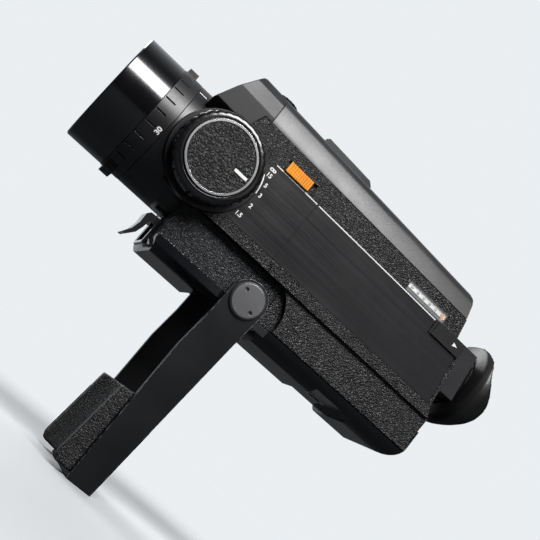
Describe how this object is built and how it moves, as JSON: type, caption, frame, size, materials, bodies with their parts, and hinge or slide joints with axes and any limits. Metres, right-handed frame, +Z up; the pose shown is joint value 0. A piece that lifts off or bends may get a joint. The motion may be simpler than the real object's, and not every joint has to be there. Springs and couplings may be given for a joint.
{
  "type": "cine camera",
  "caption": "Small-format cine camera with zoom lens, side focus knob, hinged film door, rubber eyecup and a stirrup grip that folds under the lens.",
  "frame": {"origin": "on the lens axis, at the mouth of the filter thread in the lens hood's front face", "axes": "+X runs rearwards along the lens axis to the eyepiece, +Z is up, +Y is the right cover's side; the name panel, focus knob and film door face -Y"},
  "size_m": [0.1935, 0.0583, 0.1603],
  "materials": {
    "hood_gloss": "glossy black anodised",
    "ring_satin": "satin black, ribbed",
    "housing_satin": "satin black",
    "top_satin": "satin black metal with a fine grain",
    "leather_grain": "moulded leather grain",
    "panel_brushed": "brushed black anodised plate",
    "lower_gloss": "black moulding, grained sides and glossy underside",
    "knob_gloss": "glossy black, scalloped",
    "bright_ring": "bright turned edge",
    "knob_grain": "leather grain disc with a silver index",
    "switch_orange": "orange, ribbed",
    "bolt_gunmetal": "gunmetal, fine turned",
    "arm_satin": "satin black sheet",
    "pad_plastic": "black moulding, grained sides",
    "chrome": "polished",
    "eyecup_rubber": "satin rubber",
    "scale_white": "white strip with small marks",
    "pointer_orange": "orange",
    "window_clear": "clear window",
    "meter_glass": "dark window",
    "lens_glass": "coated lens",
    "inner_black": "matt black inside the optics",
    "frame_alloy": "die-cast",
    "steel": "steel",
    "brass": "turned brass",
    "shutter_black": "matt black disc and gear",
    "cell_case": "plain metal cell case",
    "latch_black": "black slide",
    "shoe_black": "black bracket",
    "collar_satin": "satin black collar",
    "spindle_white": "white moulding",
    "screw_black": "blackened screws"
  },
  "bodies": {
    "camera_body": {"lens_hood": "hood_gloss", "lens_housing": "housing_satin", "front_bulkhead": "frame_alloy", "relay_tube": "inner_black", "relay_lens": "lens_glass", "iris_ring": "steel", "beam_splitter": "lens_glass", "finder_tube": "inner_black", "finder_prism": "lens_glass", "eyepiece_collar": "collar_satin", "front_cap": "top_satin", "meter_window": "meter_glass", "top_cover": "top_satin", "accessory_shoe": "shoe_black", "right_cover": "leather_grain", "left_cover": "leather_grain", "front_panel": "panel_brushed", "door_hinge_pin": "steel", "lower_body": "lower_gloss", "tripod_socket": "steel", "batteries": "cell_case", "main_frame": "frame_alloy", "film_gate": "steel", "film_claw": "steel", "motor": "steel", "knob_base": "housing_satin", "trigger_bezel": "chrome", "trigger_spring": "steel", "pivot_bolts": "bolt_gunmetal", "cover_screws": "screw_black", "battery_door_pin": "steel"},
    "zoom_ring": {"zoom_ring": "ring_satin"},
    "zoom_group": {"zoom_cell": "inner_black", "zoom_lens": "lens_glass"},
    "focus_group": {"front_cell": "inner_black", "front_lens": "lens_glass"},
    "focus_knob": {"knob_ring": "knob_gloss", "knob_bezel": "bright_ring", "knob_disc": "knob_grain"},
    "exposure_dial": {"exposure_dial": "knob_gloss"},
    "run_switch": {"run_switch": "switch_orange"},
    "film_door": {"film_door": "leather_grain", "door_panel": "panel_brushed", "counter_scale": "scale_white", "counter_window": "window_clear"},
    "door_latch": {"door_latch": "latch_black"},
    "counter_pointer": {"counter_pointer": "pointer_orange"},
    "battery_door": {"battery_door": "leather_grain"},
    "shutter": {"shutter": "shutter_black"},
    "motor_shaft": {"motor_pinion": "brass"},
    "take_up": {"take_up_spindle": "spindle_white"},
    "eyepiece": {"eyepiece_ring": "inner_black", "eyecup": "eyecup_rubber"},
    "eyepiece_group": {"eyepiece_lens": "lens_glass"},
    "trigger": {"trigger": "chrome"},
    "grip": {"grip_arm_left": "arm_satin", "grip_arm_right": "arm_satin", "grip_bridge": "arm_satin", "grip_pad": "pad_plastic"}
  },
  "joints": [
    {"name": "zoom_ring_turn", "type": "hinge", "parent": "camera_body", "child": "zoom_ring", "pos_m": [0.0206, 0, 0], "axis": [1, 0, 0], "range_deg": [0, 75]},
    {"name": "zoom_group_slide", "type": "slide", "parent": "camera_body", "child": "zoom_group", "axis": [1, 0, 0], "range_m": [0, 0.008]},
    {"name": "focus_knob_turn", "type": "hinge", "parent": "camera_body", "child": "focus_knob", "pos_m": [0.0446, -0.028, 0.0006], "axis": [0, 1, 0], "range_deg": [-34, 25]},
    {"name": "focus_group_slide", "type": "slide", "parent": "camera_body", "child": "focus_group", "axis": [1, 0, 0], "range_m": [-0.00118, 0.00087]},
    {"name": "exposure_dial_turn", "type": "hinge", "parent": "camera_body", "child": "exposure_dial", "pos_m": [0.054, 0, 0.041], "axis": [0, 0, 1], "range_deg": [-120, 120]},
    {"name": "run_switch_slide", "type": "slide", "parent": "camera_body", "child": "run_switch", "axis": [1, 0, 0], "range_m": [0, 0.002]},
    {"name": "film_door_swing", "type": "hinge", "parent": "camera_body", "child": "film_door", "pos_m": [0.0845, -0.0235, 0.004], "axis": [0, 0, -1], "range_deg": [0, 80]},
    {"name": "door_latch_slide", "type": "slide", "parent": "film_door", "child": "door_latch", "axis": [1, 0, 0], "range_m": [0, 0.004]},
    {"name": "counter_pointer_slide", "type": "slide", "parent": "film_door", "child": "counter_pointer", "axis": [-1, 0, 0], "range_m": [0, 0.018]},
    {"name": "battery_door_swing", "type": "hinge", "parent": "camera_body", "child": "battery_door", "pos_m": [0.1295, 0.0228, -0.0131], "axis": [-1, 0, 0], "range_deg": [0, 100]},
    {"name": "shutter_spin", "type": "hinge", "parent": "camera_body", "child": "shutter", "pos_m": [0.09, 0, -0.012], "axis": [1, 0, 0], "continuous": true},
    {"name": "motor_spin", "type": "hinge", "parent": "camera_body", "child": "motor_shaft", "pos_m": [0.09, 0.01052, -0.01808], "axis": [1, 0, 0], "continuous": true},
    {"name": "take_up_spin", "type": "hinge", "parent": "camera_body", "child": "take_up", "pos_m": [0.128, 0.005, -0.004], "axis": [0, 1, 0], "continuous": true},
    {"name": "eyepiece_turn", "type": "hinge", "parent": "camera_body", "child": "eyepiece", "pos_m": [0.176, 0, 0.0088], "axis": [1, 0, 0], "range_deg": [-40, 40]},
    {"name": "eyepiece_group_slide", "type": "slide", "parent": "camera_body", "child": "eyepiece_group", "axis": [1, 0, 0], "range_m": [-0.0008, 0.0008]},
    {"name": "trigger_pull", "type": "hinge", "parent": "camera_body", "child": "trigger", "pos_m": [0.0492, 0, -0.0266], "axis": [0, -1, 0], "range_deg": [0, 11], "stiffness_Nm_per_rad": 0.35, "springref_deg": -8.59},
    {"name": "grip_fold", "type": "hinge", "parent": "camera_body", "child": "grip", "pos_m": [0.0868, 0, -0.0294], "axis": [0, 1, 0], "range_deg": [0, 85]}
  ],
  "couplings": [
    {"joint": "zoom_group_slide", "follows": "zoom_ring_turn", "m_per_rad": 0.006112},
    {"joint": "focus_knob_turn", "follows": "focus_group_slide", "rad_per_m": 500},
    {"joint": "motor_spin", "follows": "shutter_spin", "ratio": -3},
    {"joint": "take_up_spin", "follows": "shutter_spin", "ratio": 0.02},
    {"joint": "eyepiece_group_slide", "follows": "eyepiece_turn", "m_per_rad": 0.0011}
  ]
}
